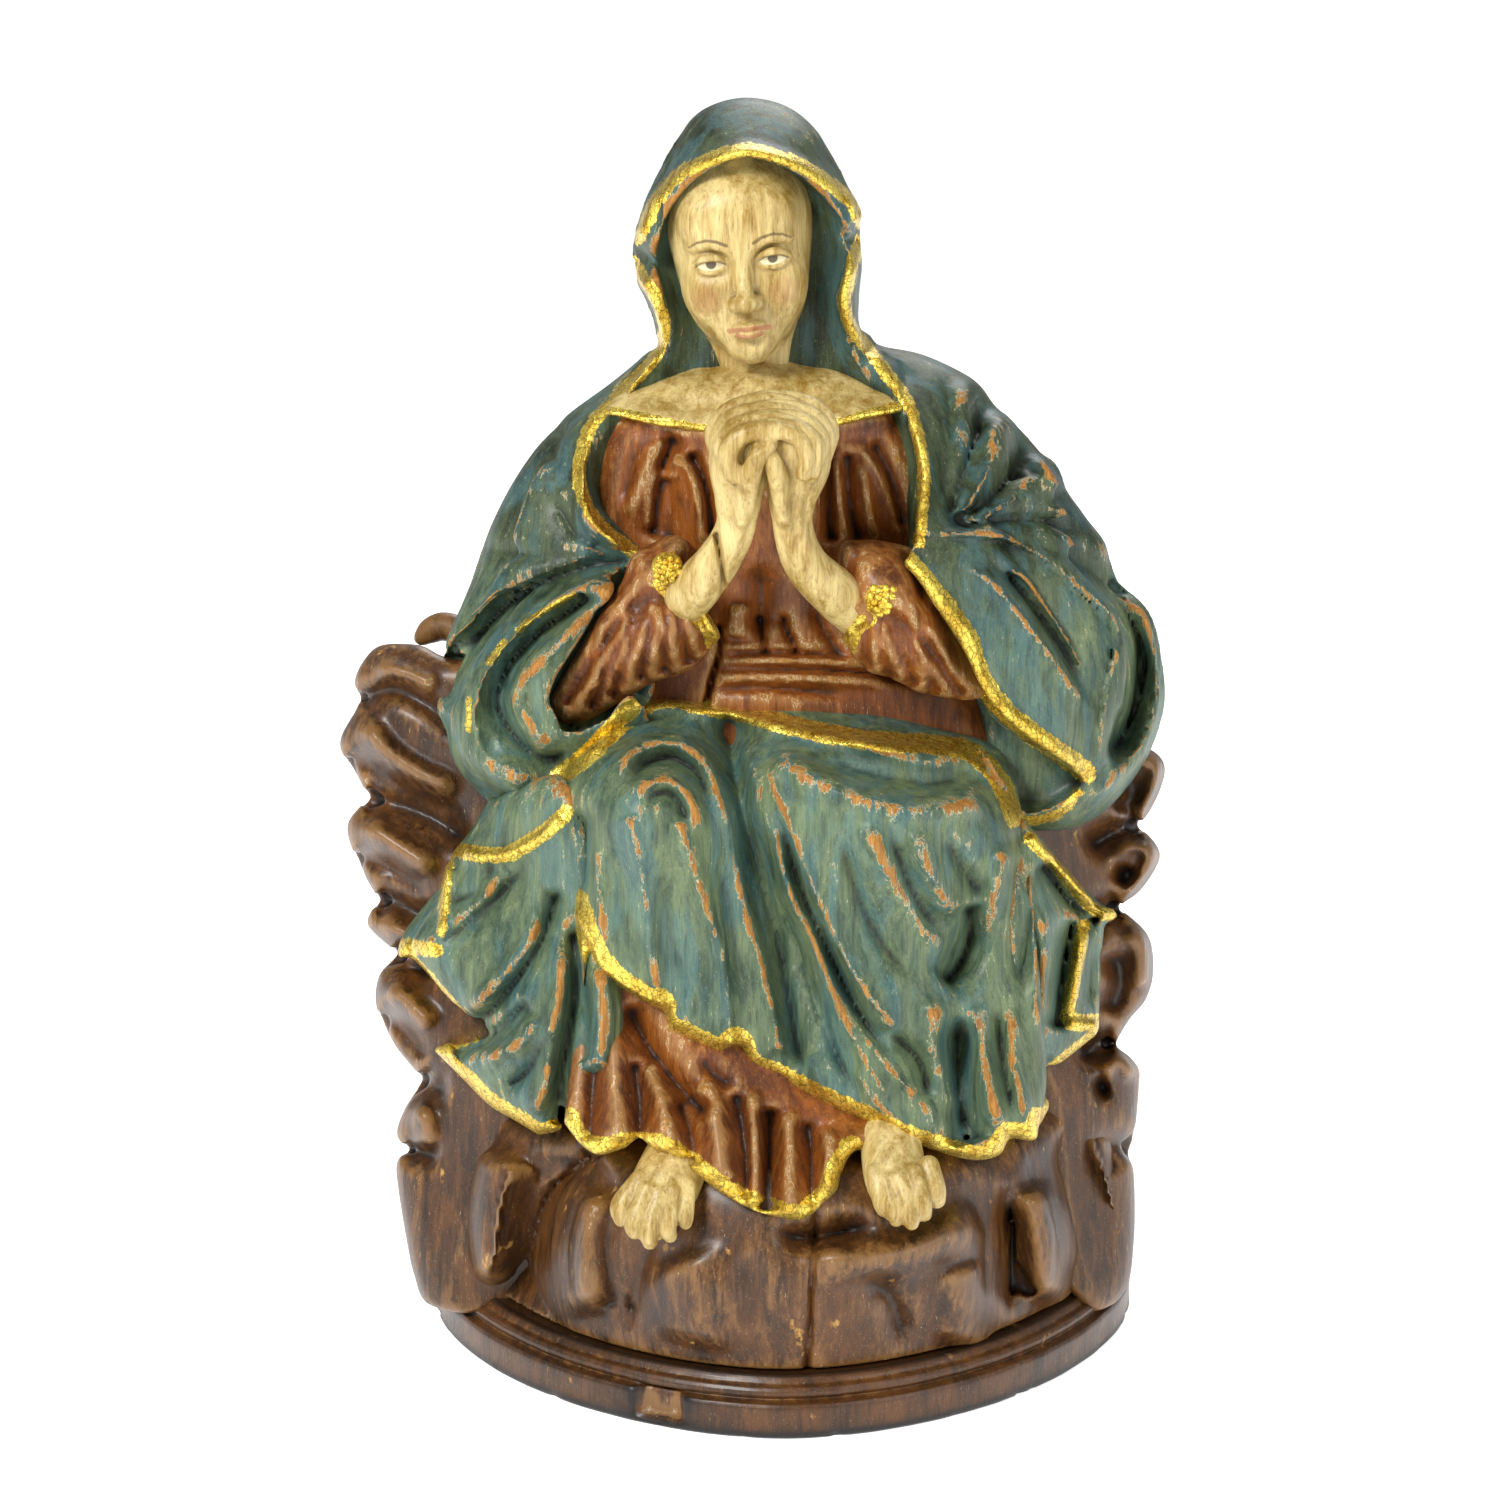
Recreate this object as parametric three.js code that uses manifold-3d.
// A seated, praying Madonna on a bank of clouds: a carved and painted statue,
// glued and dowelled together from separate blocks of wood. Millimetres, +Z up,
// the figure faces -Y, and "left" is the side at -X, the left seen from the front.
// The origin is on the underside of the plinth, at the middle of its plan.
import * as THREE from "three";
import { mergeVertices } from "three/addons/utils/BufferGeometryUtils.js";
import Module from "manifold-3d";

const wasm = await Module();
wasm.setup();

// ---------------------------------------------------------------- driving dimensions
const GLUE_GAP = 0.3; // between two glued faces
const DOWEL_CLEARANCE = 0.3; // round a dowel in its bore

const plinth = {
  height: 24, // underside to the top of the moulding
  fasciaHeight: 15, // the upright lower face, under the rounded moulding
  ledge: 4, // how far the moulding steps in above the fascia
  halfWidth: 147,
  front: 105, // origin to the front edge
  back: 78, // origin to the back edge
  widest: 66, // how far behind the origin the plan is widest
  cornerPower: 1.78, // 2 is an ellipse, more is squarer
};
const notch = { x: -52, width: 24, height: 8, depth: 12 }; // the arch under the front edge

// Heights of the figure's parts, one on top of the other.
const rise = { clouds: 80, shins: 86, thighs: 78, belt: 20, torso: 104, collar: 26, hood: 95 };
const level = { cloudTop: plinth.height + rise.clouds };
level.seat = level.cloudTop + rise.shins;
level.lap = level.seat + rise.thighs;
level.waist = level.lap + rise.belt;
level.shoulder = level.waist + rise.torso;
level.collar = level.shoulder + rise.collar; // where the hood closes round the neck
level.skullTop = level.collar + rise.hood;

const drum = { inset: 5, round: 16, crown: 4 }; // the cloud block on the plinth: its round and its raised top
const staveJoints = [
  { name: "left", top: -60, bottom: -103 }, // x of each joint between the drum's staves
  { name: "right", top: 9, bottom: 7 },
];

const trunk = { x: -6, y: 12, seatHalfWidth: 86, waistHalfWidth: 58, chestHalfWidth: 62, halfDepth: 46 };
const lap = { y: -62, split: -18, leftReach: 80, rightReach: 112, depth: 38, rightDrop: 72 };
const HEAD_CANON = 7 / 5; // a drawing manual's height of a head for its width across five eyes
const head = { x: -15, y: -2, halfWidth: 34, halfDepth: 36, faceWidth: 62 };
head.height = head.faceWidth * HEAD_CANON;
const hood = { wall: 12, crownWall: 12, rim: 36, y: 10 };
const neck = { radius: 25, yokeHalfWidth: 54, yokeDrop: 34 };
const mantle = { leftReach: 138, rightReach: 151, sleeveDrop: 64, backY: 58, halfDepth: 46 };
const drapery = { leftReach: 150, rightReach: 126, clearance: 8 };
const skirt = { x: -24, halfWidth: 46, drop: 16 };
const foot = { length: 30, halfWidth: 16, height: 40, leftX: -50, rightX: 46, y: -86 };
const hand = { x: -4, y: -52, spread: 12, wristSpread: 34, wristRise: 46, tuck: 20, thickness: 12 };
const cuff = { radius: 24, wristRadius: 14, bossRadius: 7, leftReach: 88, rightReach: 80 };
const bank = { y: 46, thickness: 46, bevel: 7, inner: 84 };
const dowel = { radius: 5, thinRadius: 3, length: 40, sides: 10 };

// ---------------------------------------------------------------- shape helpers
const mix = (a, b, t) => a + (b - a) * t;

/** A closed geometry with only welded positions, as manifold-3d takes it. */
function welded(geometry) {
  const bare = geometry.index ? geometry.toNonIndexed() : geometry.clone();
  bare.deleteAttribute("normal");
  bare.deleteAttribute("uv");
  return mergeVertices(bare, 1e-4);
}

/** The same geometry with every face moved outwards by about `gap`. */
function puffed(geometry, gap) {
  const grown = geometry.clone();
  grown.computeVertexNormals();
  const place = grown.attributes.position;
  const normal = grown.attributes.normal;
  for (let i = 0; i < place.count; i++) {
    place.setXYZ(
      i,
      place.getX(i) + normal.getX(i) * gap,
      place.getY(i) + normal.getY(i) * gap,
      place.getZ(i) + normal.getZ(i) * gap,
    );
  }
  grown.deleteAttribute("normal");
  return grown;
}

function solidOf(geometry) {
  return new wasm.Manifold(
    new wasm.Mesh({
      numProp: 3,
      vertProperties: new Float32Array(geometry.attributes.position.array),
      triVerts: new Uint32Array(geometry.index.array),
    }),
  );
}

function geometryOf(solid) {
  const mesh = solid.getMesh();
  const geometry = new THREE.BufferGeometry();
  geometry.setAttribute("position", new THREE.BufferAttribute(mesh.vertProperties, 3));
  geometry.setIndex(new THREE.BufferAttribute(mesh.triVerts, 1));
  geometry.computeVertexNormals();
  return geometry;
}

/**
 * A solid swept through stations {x, y, z, a, b}: rings of half-widths a and b, across
 * a path that runs through the stations. Flutes ripple the ring like folds of cloth.
 */
function loft(stations, { sides = 16, power = 2, flutes = 0, depth = 0 } = {}) {
  const rows = stations.length - 1;
  const geometry = new THREE.CylinderGeometry(1, 1, 1, sides, rows).rotateX(Math.PI / 2);
  const along = stations.map((s, i) => {
    const from = stations[Math.max(i - 1, 0)];
    const to = stations[Math.min(i + 1, rows)];
    return new THREE.Vector3(to.x - from.x, to.y - from.y, to.z - from.z).normalize();
  });
  const place = geometry.attributes.position;
  const point = new THREE.Vector3();
  for (let i = 0; i < place.count; i++) {
    const row = Math.round((place.getZ(i) + 0.5) * rows);
    const s = stations[row];
    const turn = Math.atan2(place.getY(i), place.getX(i));
    const reach = Math.hypot(place.getX(i), place.getY(i));
    const ripple = 1 + depth * Math.cos(flutes * turn);
    const wide = Math.sign(Math.cos(turn)) * Math.abs(Math.cos(turn)) ** (2 / power);
    const deep = Math.sign(Math.sin(turn)) * Math.abs(Math.sin(turn)) ** (2 / power);
    point.set(s.a * wide * reach * ripple, s.b * deep * reach * ripple, 0);
    point.applyQuaternion(facing(along[row]));
    place.setXYZ(i, s.x + point.x, s.y + point.y, s.z + point.z);
  }
  return welded(geometry);
}

/** The turn that carries +Z onto a direction, with the ring's width kept level. */
function facing(direction) {
  const side = new THREE.Vector3(1, 0, 0);
  const front = new THREE.Vector3().crossVectors(direction, side).normalize();
  side.crossVectors(front, direction);
  return new THREE.Quaternion().setFromRotationMatrix(
    new THREE.Matrix4().makeBasis(side, front, direction),
  );
}

const ring = (x, y, z, a, b) => ({ x, y, z, a, b });

/** An ellipsoid, a rounded lump of carving. */
function lump(x, y, z, a, b, c, sides = 14) {
  const geometry = new THREE.SphereGeometry(1, sides, Math.round(sides * 0.6));
  return welded(geometry.rotateX(Math.PI / 2).scale(a, b, c).translate(x, y, z));
}

function peg(from, to, radius) {
  const start = new THREE.Vector3(...from);
  const path = new THREE.Vector3(...to).sub(start);
  const geometry = new THREE.CylinderGeometry(radius, radius, path.length(), dowel.sides);
  const up = new THREE.Vector3(0, 1, 0);
  geometry.applyQuaternion(new THREE.Quaternion().setFromUnitVectors(up, path.clone().normalize()));
  const middle = start.addScaledVector(path, 0.5);
  return welded(geometry.translate(middle.x, middle.y, middle.z));
}

/** A box from one corner to the other, used to trim blocks flat. */
function block(low, high) {
  const size = high.map((h, i) => h - low[i]);
  const geometry = new THREE.BoxGeometry(...size);
  return welded(geometry.translate(...low.map((l, i) => l + size[i] / 2)));
}

// ---------------------------------------------------------------- pieces
const colours = {
  teal: new THREE.MeshStandardMaterial({ color: 0x2f5a58, roughness: 0.5, metalness: 0 }),
  flesh: new THREE.MeshStandardMaterial({ color: 0xcfc08a, roughness: 0.55, metalness: 0 }),
  dress: new THREE.MeshStandardMaterial({ color: 0x6b3f22, roughness: 0.5, metalness: 0 }),
  cloud: new THREE.MeshStandardMaterial({ color: 0x5c3b26, roughness: 0.45, metalness: 0 }),
  gilt: new THREE.MeshStandardMaterial({ color: 0xd0a428, roughness: 0.35, metalness: 0.8 }),
  wood: new THREE.MeshStandardMaterial({ color: 0xb98a52, roughness: 0.7, metalness: 0 }),
};

const statue = new THREE.Group();
const placed = []; // each {box, cutter} of a finished piece, which later pieces are cut by

const union = (solids) => solids.reduce((whole, s) => whole.add(s));
const PUFF = 1.4; // puffing moves a coarse face by less than its corners

const biggest = (solid) =>
  solid.decompose().reduce((best, s) => (s.volume() > best.volume() ? s : best));

function meets(one, other) {
  return [0, 1, 2].every((k) => one.min[k] <= other.max[k] && other.min[k] <= one.max[k]);
}

function show(name, material, solid) {
  const mesh = new THREE.Mesh(geometryOf(solid), material);
  mesh.name = name;
  statue.add(mesh);
}

/** Adds a piece made of joined geometries, less what the pieces before it take up. */
function piece(name, material, geometries, { gap = GLUE_GAP * PUFF, trim, trimGap = gap, hollows = [] } = {}) {
  let solid = union(geometries.map(solidOf));
  if (trim) solid = solid.intersect(solidOf(trim));
  hollows.forEach((h) => (solid = solid.subtract(solidOf(h))));
  const box = solid.boundingBox();
  placed.filter((p) => meets(p.box, box)).forEach((p) => (solid = solid.subtract(p.cutter)));
  solid = biggest(solid);
  let cutter = union(geometries.map((g) => solidOf(puffed(g, gap))));
  if (trim) cutter = cutter.intersect(solidOf(puffed(trim, trimGap)));
  placed.push({ box: cutter.boundingBox(), cutter });
  show(name, material, solid);
}

// ---------------------------------------------------------------- dowels
const SIDES = [
  { side: -1, name: "left" },
  { side: 1, name: "right" },
];
const pick = (side, left, right) => (side < 0 ? left : right);
const wrist = (side) => [hand.x + side * hand.wristSpread, hand.y, level.waist + hand.wristRise];
const lapMiddle = (side) => lap.split + pick(side, -lap.leftReach, lap.rightReach) / 2;

/** A dowel through the middle point of a joint, half its length into each block. */
function addDowel(name, middle, direction, radius = dowel.radius, length = dowel.length) {
  const along = new THREE.Vector3(...direction).normalize().multiplyScalar(length / 2).toArray();
  const from = middle.map((m, i) => m - along[i]);
  const to = middle.map((m, i) => m + along[i]);
  piece(name, colours.wood, [peg(from, to, radius)], { gap: DOWEL_CLEARANCE });
}

function addDowels() {
  const { radius, thinRadius } = dowel;
  addDowel("neck_dowel", [head.x, head.y + 6, level.shoulder - neck.yokeDrop], [0, 0, 1]);
  addDowel("trunk_dowel", [-30, trunk.y, level.cloudTop + drum.crown], [0, 0, 1]);
  for (const { side, name } of SIDES) {
    const armpit = mix(level.waist, level.shoulder, 0.45);
    addDowel(`shoulder_dowel_${name}`, [trunk.x + side * trunk.chestHalfWidth, trunk.y, armpit], [side, 0, 0]);
    const bankMiddle = [trunk.x + side * trunk.seatHalfWidth, bank.y - 12, level.seat - 20];
    addDowel(`bank_dowel_${name}`, bankMiddle, [side, 0, 0]);
    addDowel(`lap_dowel_${name}`, [lapMiddle(side), trunk.y - trunk.halfDepth, level.seat + 24], [0, 1, 0]);
    const footX = pick(side, foot.leftX, foot.rightX);
    addDowel(`foot_dowel_${name}`, [footX, foot.y + 10, level.cloudTop - 4], [0, 0.5, -1], thinRadius, 24);
    const [x, y, z] = wrist(side);
    addDowel(`wrist_dowel_${name}`, [x + side * 5, y + 6, z - 14], [-side * 0.6, -0.4, 0.7], thinRadius, 24);
  }
  const plinthDowels = { left: -112, centre: -40, right: 60 };
  for (const [name, x] of Object.entries(plinthDowels)) {
    addDowel(`plinth_dowel_${name}`, [x, 20, plinth.height], [0, 0, 1], radius, 28);
  }
}

// ---------------------------------------------------------------- plinth and clouds
/** The plinth's plan as a closed outline: an ellipse squared a little, deeper in front. */
function planShape(inset) {
  const steps = 26;
  const corners = [];
  for (let i = 0; i < steps; i++) {
    const turn = (i / steps) * 2 * Math.PI;
    const wide = Math.abs(Math.cos(turn)) ** (2 / plinth.cornerPower);
    const deep = Math.abs(Math.sin(turn)) ** (2 / plinth.cornerPower);
    const reach = Math.sin(turn) < 0 ? plinth.front + plinth.widest : plinth.back - plinth.widest;
    const x = Math.sign(Math.cos(turn)) * wide * (plinth.halfWidth - inset);
    const y = plinth.widest + Math.sign(Math.sin(turn)) * deep * (reach - inset);
    corners.push(new THREE.Vector2(x, y));
  }
  return new THREE.Shape(corners);
}

function addPlinth() {
  const upright = { depth: plinth.fasciaHeight, bevelEnabled: false };
  const fascia = new THREE.ExtrudeGeometry(planShape(0), upright);
  const round = plinth.height - plinth.fasciaHeight;
  const moulding = new THREE.ExtrudeGeometry(planShape(plinth.ledge * 2), {
    depth: 1,
    bevelThickness: round - 1,
    bevelSize: plinth.ledge,
    bevelSegments: 2,
  }).translate(0, 0, plinth.fasciaHeight);
  const arch = new THREE.CylinderGeometry(notch.width / 2, notch.width / 2, notch.depth * 2, 12)
    .scale(1, 1, (2 * notch.height) / notch.width)
    .translate(notch.x, -plinth.front, 0);
  const reach = plinth.halfWidth + plinth.front;
  const room = block([-reach, -reach, 0], [reach, reach, plinth.height]);
  const parts = [welded(fascia), welded(moulding)];
  piece("plinth", colours.cloud, parts, { hollows: [welded(arch)], trim: room });
}

/** A thin sheet that parts the drum from front to back along a joint. */
function jointSheet(joint) {
  const kerf = GLUE_GAP / 2;
  const low = plinth.height - 5;
  const high = level.cloudTop + 40;
  const shape = new THREE.Shape([
    new THREE.Vector2(joint.bottom - kerf, low),
    new THREE.Vector2(joint.bottom + kerf, low),
    new THREE.Vector2(joint.top + kerf, high),
    new THREE.Vector2(joint.top - kerf, high),
  ]);
  const reach = plinth.front + plinth.back;
  const sheet = new THREE.ExtrudeGeometry(shape, { depth: 2 * reach, bevelEnabled: false });
  return welded(sheet.rotateX(Math.PI / 2).translate(0, reach, 0));
}

/** The drum of cloud, in three upright staves between the two joints. */
function addDrum() {
  const base = plinth.height + GLUE_GAP;
  const tall = level.cloudTop + drum.crown - base;
  const wall = new THREE.ExtrudeGeometry(planShape(drum.inset), {
    depth: tall - drum.round,
    bevelEnabled: false,
  }).translate(0, 0, base);
  const crown = new THREE.ExtrudeGeometry(planShape(drum.inset + drum.round), {
    depth: 1,
    bevelThickness: drum.round,
    bevelSize: drum.round,
    bevelSegments: 3,
  }).translate(0, 0, base + tall - drum.round - 1);
  const blocks = [welded(wall), welded(crown)];
  let solid = solidOf(blocks[0]).add(solidOf(blocks[1]));
  placed.forEach((p) => (solid = solid.subtract(p.cutter)));
  staveJoints.forEach((joint) => (solid = solid.subtract(solidOf(jointSheet(joint)))));
  const middleX = (s) => (s.boundingBox().min[0] + s.boundingBox().max[0]) / 2;
  const staves = solid
    .decompose()
    .sort((one, other) => other.volume() - one.volume())
    .slice(0, 3)
    .sort((one, other) => middleX(one) - middleX(other));
  ["left", "centre", "right"].forEach((name, i) => show(`cloud_base_${name}`, colours.cloud, staves[i]));
  const [wallCutter, crownCutter] = blocks.map((b) => solidOf(puffed(b, GLUE_GAP * PUFF)));
  const cutter = wallCutter.add(crownCutter);
  placed.push({ box: cutter.boundingBox(), cutter });
}

/** A cloud bank: a board whose outer edge is a row of scrolled lobes, cut by hand. */
function bankBoard(start, lobes, foot, inner) {
  const shape = new THREE.Shape();
  shape.moveTo(...start);
  lobes.forEach(([crestX, crestZ, notchX, notchZ]) => {
    shape.quadraticCurveTo(crestX, crestZ, notchX, notchZ);
  });
  shape.lineTo(...foot);
  shape.lineTo(...inner);
  shape.closePath();
  const board = new THREE.ExtrudeGeometry(shape, {
    depth: bank.thickness - 2 * bank.bevel,
    bevelThickness: bank.bevel,
    bevelSize: bank.bevel,
    bevelOffset: -bank.bevel,
    bevelSegments: 2,
    curveSegments: 5,
  });
  return welded(board.rotateX(Math.PI / 2).translate(0, bank.y + bank.thickness / 2 - bank.bevel, 0));
}

function addBanks() {
  const { inner } = bank;
  const top = level.waist;
  const low = level.cloudTop - 60;
  const at = (share) => mix(low, top, share);
  // Each lobe: its crest, then the notch under it.
  const leftLobes = [
    [-172, top + 12, -168, at(0.89)],
    [-190, at(0.86), -160, at(0.76)],
    [-192, at(0.72), -158, at(0.54)],
    [-184, at(0.47), -142, at(0.24)],
    [-170, at(0.18), -146, low],
  ];
  const rightLobes = [
    [162, at(0.94), 142, at(0.7)],
    [166, at(0.64), 133, at(0.56)],
    [166, at(0.5), 131, at(0.34)],
    [162, at(0.26), 138, low],
  ];
  const scroll = lump(-136, bank.y + 20, top + 2, 18, 11, 10, 10);
  piece("cloud_scroll_rear", colours.cloud, [scroll]);
  const left = bankBoard([-112, top + 4], leftLobes, [-inner, low], [-inner, top - 8]);
  piece("cloud_bank_left", colours.cloud, [left]);
  const right = bankBoard([116, at(0.95)], rightLobes, [inner, low], [inner, at(0.9)]);
  piece("cloud_bank_right", colours.cloud, [right]);
}

// ---------------------------------------------------------------- the figure
function addHead() {
  const middle = level.skullTop - head.height / 2;
  const skull = lump(head.x, head.y, middle, head.halfWidth, head.halfDepth, head.height / 2, 18);
  const wide = neck.yokeHalfWidth;
  const yokeFoot = level.shoulder - neck.yokeDrop;
  const deep = trunk.halfDepth;
  const bust = loft(
    [
      ring(trunk.x - 4, trunk.y - 12, yokeFoot, wide, deep - 6),
      ring(trunk.x - 4, trunk.y - 10, yokeFoot + neck.yokeDrop * 0.6, wide - 4, deep - 12),
      ring(trunk.x - 5, trunk.y - 6, level.shoulder + 4, neck.radius + 12, neck.radius + 4),
      ring(head.x + 3, head.y + 6, level.shoulder + 16, neck.radius + 2, neck.radius),
      ring(head.x, head.y + 6, level.collar + 30, neck.radius, neck.radius),
    ],
    { sides: 18, power: 2.1 },
  );
  piece("head", colours.flesh, [skull, bust]);
}

/** A forearm with its hand; the two hands meet palm to palm and the fingers lock. */
function addHands() {
  const knuckles = level.collar - hand.tuck;
  for (const { side, name } of SIDES) {
    const [wristX, y, wristZ] = wrist(side);
    const palmX = hand.x + side * hand.spread;
    const thick = hand.thickness;
    const arm = loft(
      [
        ring(wristX + side * 10, y + 9, wristZ - 16, thick - 2, thick - 2),
        ring(wristX, y, wristZ + 4, thick - 2, thick - 2),
        ring(palmX + side * 3, y - 2, mix(wristZ, knuckles, 0.5), thick - 2, thick),
        ring(palmX + side, y - 2, knuckles - 6, thick, thick),
      ],
      { sides: 12 },
    );
    const fist = lump(palmX, y - 3, knuckles, thick + 1, thick + 3, thick + 1, 12);
    const edge = hand.x + (side * GLUE_GAP) / 2;
    const reach = 2 * plinth.halfWidth;
    const half = side < 0
      ? block([-reach, -reach, 0], [edge, reach, 2 * level.skullTop])
      : block([edge, -reach, 0], [reach, reach, 2 * level.skullTop]);
    piece(`hand_${name}`, colours.flesh, [arm, fist], { trim: half, trimGap: 0 });
  }
}

function addCuffs() {
  for (const { side, name } of SIDES) {
    const [x, y, z] = wrist(side);
    const reach = pick(side, cuff.leftReach, cuff.rightReach);
    const boss = lump(x + side * 8, y + 2, z - 2, cuff.bossRadius, cuff.bossRadius, cuff.bossRadius, 10);
    piece(`cuff_boss_${name}`, colours.gilt, [boss]);
    const sleeve = loft(
      [
        ring(side * reach, -16, level.waist + 10, cuff.radius, cuff.radius + 6),
        ring(mix(side * reach, x, 0.45), -36, level.waist + 24, cuff.radius + 2, cuff.radius + 2),
        ring(mix(side * reach, x, 0.82), y + 8, z - 10, cuff.radius - 4, cuff.wristRadius + 4),
        ring(x + side * 2, y + 2, z - 2, cuff.wristRadius + 1, cuff.wristRadius),
      ],
      { sides: 16, flutes: 8, depth: 0.03 },
    );
    piece(`cuff_${name}`, colours.dress, [sleeve]);
  }
}

function addFeet() {
  for (const { side, name } of SIDES) {
    const x = pick(side, foot.leftX, foot.rightX);
    const sole = level.cloudTop - 22;
    const wide = foot.halfWidth;
    const half = foot.length / 2;
    piece(`foot_${name}`, colours.flesh, [
      loft(
        [
          ring(x + side * 3, foot.y - 3, sole, wide * 0.7, half * 0.55),
          ring(x + side * 2, foot.y - 1, sole + foot.height * 0.3, wide, half * 0.85),
          ring(x, foot.y + 3, sole + foot.height * 0.7, wide * 0.85, half),
          ring(x - side, foot.y + 8, sole + foot.height, wide * 0.6, half * 0.7),
        ],
        { sides: 12 },
      ),
    ]);
  }
}

/** Trims a lap block at the joint down the middle of the lap. */
function lapHalf(side) {
  const edge = lap.split + (side * GLUE_GAP) / 2;
  const reach = 2 * plinth.halfWidth;
  return side < 0
    ? block([-reach, -reach, 0], [edge, reach, 2 * level.lap])
    : block([edge, -reach, 0], [reach, reach, 2 * level.lap]);
}

function addLap() {
  const { y, depth } = lap;
  const knee = level.cloudTop + 46;
  const leftHalf = lap.leftReach / 2;
  const leftX = lapMiddle(-1);
  const left = loft(
    [
      ring(leftX + 8, y, knee, leftHalf - 4, depth - 10),
      ring(leftX + 6, y, level.seat, leftHalf + 4, depth - 2),
      ring(leftX + 6, y, level.lap - 24, leftHalf + 6, depth),
      ring(leftX + 6, y + 8, level.lap - 6, leftHalf, depth - 6),
      ring(leftX + 10, y + 16, level.lap + 8, leftHalf - 10, depth - 18),
    ],
    { sides: 18, power: 2.6 },
  );
  piece("lap_left", colours.teal, [left], { trim: lapHalf(-1), trimGap: 0 });
  const rightHalf = lap.rightReach / 2;
  const rightX = lapMiddle(1);
  const right = loft(
    [
      ring(rightX, y + 2, level.seat - lap.rightDrop, rightHalf + 2, depth - 12),
      ring(rightX, y, level.cloudTop + 50, rightHalf + 2, depth - 4),
      ring(rightX - 2, y, level.seat + 6, rightHalf, depth),
      ring(rightX - 4, y, level.lap - 22, rightHalf, depth + 1),
      ring(rightX - 6, y + 10, level.lap - 4, rightHalf - 4, depth - 6),
      ring(rightX - 14, y + 18, level.lap + 10, rightHalf - 14, depth - 18),
    ],
    { sides: 20, power: 2.6, flutes: 9, depth: 0.02 },
  );
  piece("lap_right", colours.teal, [right], { trim: lapHalf(1), trimGap: 0 });
}

function addUnderskirt() {
  const { x, halfWidth } = skirt;
  const y = lap.y;
  piece("underskirt", colours.dress, [
    loft(
      [
        ring(x + 14, y - 6, level.cloudTop - skirt.drop, halfWidth * 0.5, 22),
        ring(x + 4, y - 4, level.cloudTop + 4, halfWidth, 28),
        ring(x, y + 2, level.cloudTop + 34, halfWidth - 2, 25),
        ring(x - 4, y + 8, level.cloudTop + 60, halfWidth - 12, 18),
      ],
      { sides: 18, flutes: 8, depth: 0.04 },
    ),
  ]);
}

function addTrunk() {
  const { x, y, seatHalfWidth, waistHalfWidth, chestHalfWidth, halfDepth } = trunk;
  const floor = level.cloudTop + drum.crown + GLUE_GAP;
  piece("trunk", colours.dress, [
    loft(
      [
        ring(x, y, floor, seatHalfWidth - 4, halfDepth),
        ring(x, y, level.seat, seatHalfWidth, halfDepth),
        ring(x, y, level.lap - 10, waistHalfWidth + 14, halfDepth),
        ring(x, y, level.waist, waistHalfWidth, halfDepth - 6),
        ring(x, y, mix(level.waist, level.shoulder, 0.5), chestHalfWidth, halfDepth - 4),
        ring(x, y, level.shoulder - 20, chestHalfWidth, halfDepth - 8),
        ring(x, y + 2, level.shoulder, chestHalfWidth - 16, halfDepth - 14),
      ],
      { sides: 20, power: 2.5 },
    ),
  ]);
}

function addHood() {
  const { wall, y } = hood;
  const { x } = head;
  const wide = head.halfWidth + wall;
  const crown = level.skullTop + hood.crownWall;
  const face = lump(x, head.y - 42, level.collar + 38, head.halfWidth, hood.rim, 60, 12);
  piece("hood", colours.teal, [
    loft(
      [
        ring(x + 6, y + 8, level.shoulder - 2, wide + 20, 34),
        ring(x + 5, y + 6, level.collar, wide - 1, 36),
        ring(x + 1, y, level.collar + 36, wide, 43),
        ring(x, y, level.collar + 60, wide - 3, 43),
        ring(x - 1, y, crown - 26, wide - 12, 37),
        ring(x, y, crown - 9, wide - 25, 25),
        ring(x, y, crown, wide - 38, 10),
      ],
      { sides: 20 },
    ),
  ], { hollows: [face] });
}

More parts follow.
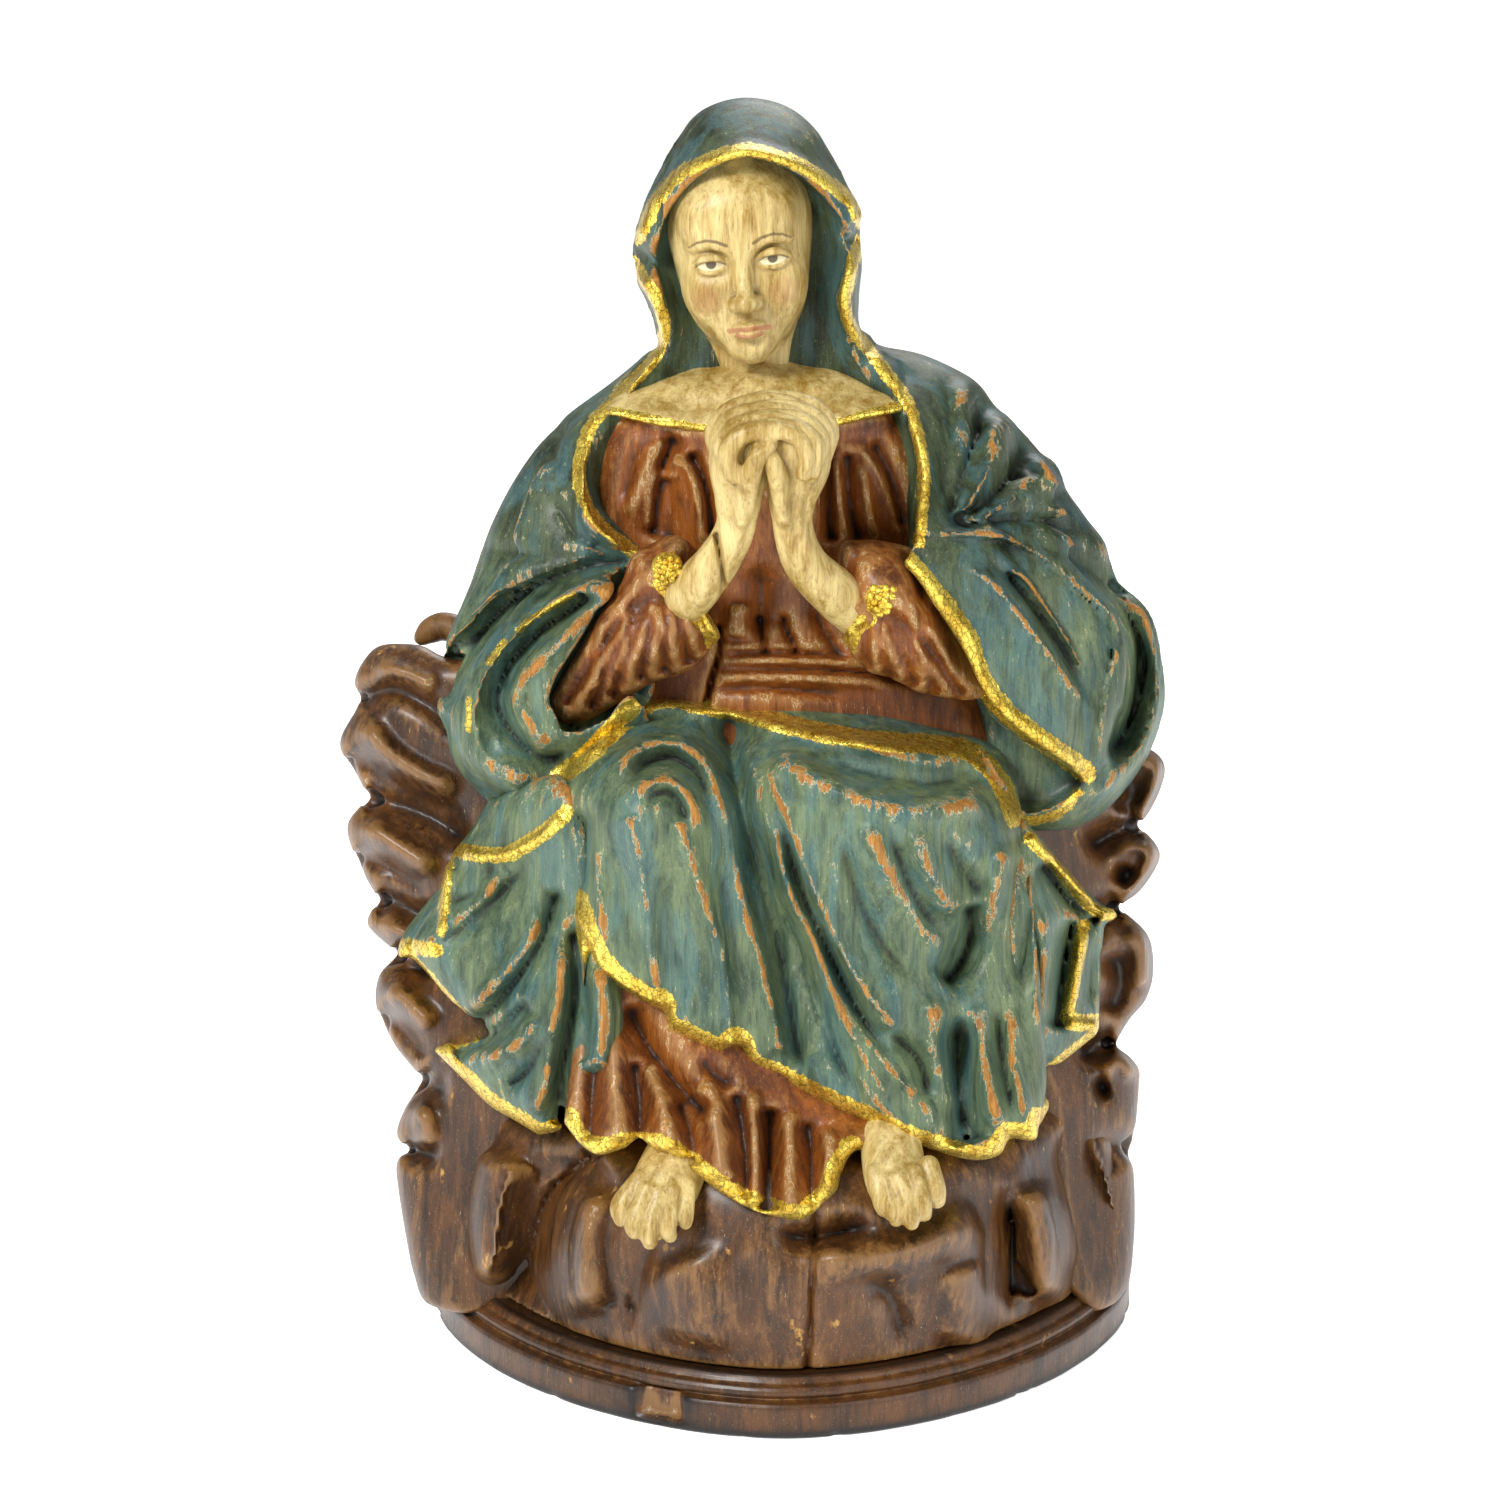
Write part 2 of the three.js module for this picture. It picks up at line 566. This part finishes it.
function addMantle() {
  const { halfDepth, backY } = mantle;
  const top = level.shoulder;
  const hem = level.waist - mantle.sleeveDrop;
  for (const { side, name } of SIDES) {
    const elbow = pick(side, mantle.leftReach, mantle.rightReach) - halfDepth;
    const collar = trunk.x + side * 36;
    const out = (share) => mix(collar, side * elbow, share);
    piece(`mantle_${name}`, colours.teal, [
      loft(
        [
          ring(out(1) - side * 4, -6, hem, 24, 22),
          ring(out(1) - side * 2, -8, hem + 18, 40, halfDepth - 8),
          ring(out(1), -8, level.waist - 4, halfDepth, halfDepth),
          ring(out(0.92), -4, mix(level.waist, top, 0.36), halfDepth - 4, halfDepth - 2),
          ring(out(0.7), 2, mix(level.waist, top, 0.72), halfDepth - 6, halfDepth - 8),
          ring(out(0.36), 8, top - 10, 36, 36),
          ring(out(0), 12, top + 14, 24, 28),
        ],
        { sides: 18, flutes: 9, depth: 0.02 },
      ),
    ]);
  }
  piece("mantle_back", colours.teal, [
    loft(
      [
        ring(trunk.x, backY - 6, level.seat - 60, 90, 18),
        ring(trunk.x, backY, level.seat, 98, 20),
        ring(trunk.x, backY, level.waist, 90, 20),
        ring(trunk.x, backY - 4, mix(level.waist, top, 0.6), 76, 20),
        ring(trunk.x - 2, backY - 12, top + 6, 50, 18),
      ],
      { sides: 20, power: 2.4, flutes: 11, depth: 0.02 },
    ),
  ]);
}

function addDrapery() {
  const { leftReach, rightReach } = drapery;
  const hem = level.cloudTop + drapery.clearance;
  const top = level.waist - mantle.sleeveDrop;
  piece("drapery_left", colours.teal, [
    loft(
      [
        ring(-leftReach + 74, -44, hem - 6, 38, 28),
        ring(-leftReach + 54, -30, mix(hem, top, 0.35), 46, 40),
        ring(-leftReach + 46, -16, mix(hem, top, 0.65), 46, 40),
        ring(-leftReach + 50, -8, top - 6, 38, 34),
        ring(-leftReach + 58, -4, top + 10, 24, 24),
      ],
      { sides: 20, power: 2.2, flutes: 9, depth: 0.05 },
    ),
  ]);
  piece("drapery_right", colours.teal, [
    loft(
      [
        ring(rightReach - 54, -40, hem, 34, 28),
        ring(rightReach - 44, -30, mix(hem, top, 0.35), 42, 38),
        ring(rightReach - 40, -16, mix(hem, top, 0.7), 40, 38),
        ring(rightReach - 42, -8, top, 34, 30),
      ],
      { sides: 20, power: 2.2, flutes: 9, depth: 0.05 },
    ),
  ]);
}

// The order is the order of fitting: each piece gives way to those before it.
addDowels();
addPlinth();
addDrum();
addHands();
addCuffs();
addHead();
addFeet();
addLap();
addUnderskirt();
addTrunk();
addHood();
addMantle();
addDrapery();
addBanks();

export default statue;
